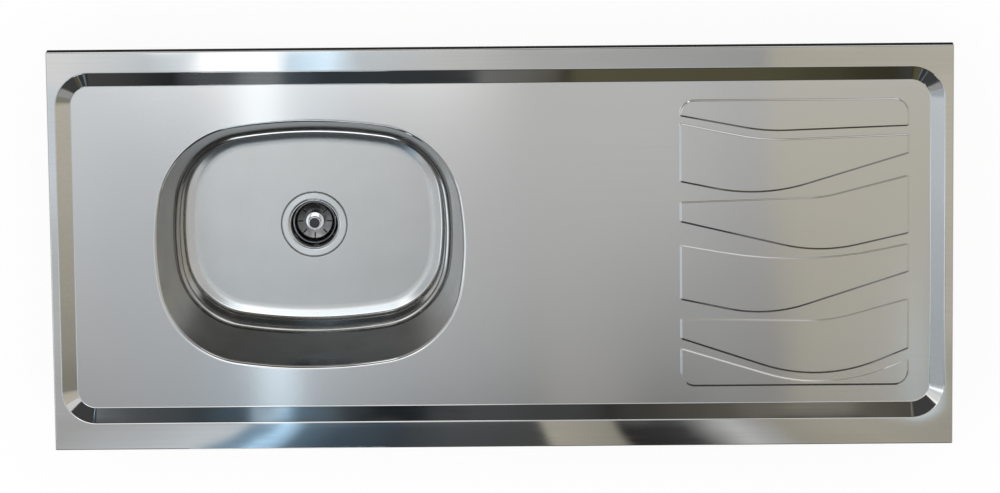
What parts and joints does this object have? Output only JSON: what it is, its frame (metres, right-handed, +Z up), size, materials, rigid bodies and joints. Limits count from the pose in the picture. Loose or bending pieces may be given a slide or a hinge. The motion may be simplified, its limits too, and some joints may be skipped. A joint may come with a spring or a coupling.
{
  "type": "kitchen sink with drainboard",
  "caption": "Pressed stainless kitchen sink top with a rounded oval bowl on the left, a wavy drainboard on the right and a basket strainer waste.",
  "frame": {"origin": "plan centre of the sink top, on the plane where its battens and skirt rest on the cabinet", "axes": "+X to the right along the length, towards the drainboard; +Y to the rear; +Z up"},
  "size_m": [1.2, 0.54, 0.27],
  "materials": {
    "pressed_steel": "stainless sheet, satin panel, polished bends and bowl walls",
    "strainer_steel": "satin stainless",
    "polished_steel": "polished",
    "black_plastic": "dull black",
    "black_rubber": "moulded",
    "sealing_compound": "grey sealing compound",
    "fibre_ring": "pressed fibre",
    "white_plastic": "moulded white",
    "damping_pad": "dark bitumen pad",
    "batten_wood": "planed softwood",
    "zinc_steel": "zinc plated"
  },
  "bodies": {
    "sink_top": {"deck": "pressed_steel", "bowl": "pressed_steel", "bowl_sound_pad": "damping_pad", "drainboard_pad_rear": "damping_pad", "drainboard_pad_front": "damping_pad", "strainer_body": "strainer_steel", "flange_seal": "sealing_compound", "lower_gasket": "black_rubber", "friction_ring": "fibre_ring", "lock_nut": "white_plastic", "tailpiece_washer": "black_rubber", "tailpiece": "white_plastic", "coupling_nut": "white_plastic", "bracket_screws": "zinc_steel", "rear_batten": "batten_wood", "front_batten": "batten_wood", "left_end_batten": "batten_wood", "right_end_batten": "batten_wood", "centre_batten": "batten_wood", "drainboard_batten": "batten_wood", "bracket_left_front": "zinc_steel", "bracket_left_rear": "zinc_steel", "bracket_right_front": "zinc_steel", "bracket_right_rear": "zinc_steel"},
    "basket": {"basket_cup": "strainer_steel", "basket_knob": "polished_steel", "knob_insert": "black_plastic", "basket_post": "polished_steel", "basket_stopper": "black_rubber", "stopper_washer": "strainer_steel", "post_nut": "strainer_steel"}
  },
  "joints": [
    {"name": "basket_lift", "type": "slide", "parent": "sink_top", "child": "basket", "axis": [0, 0, 1], "range_m": [0, 0.205]}
  ]
}
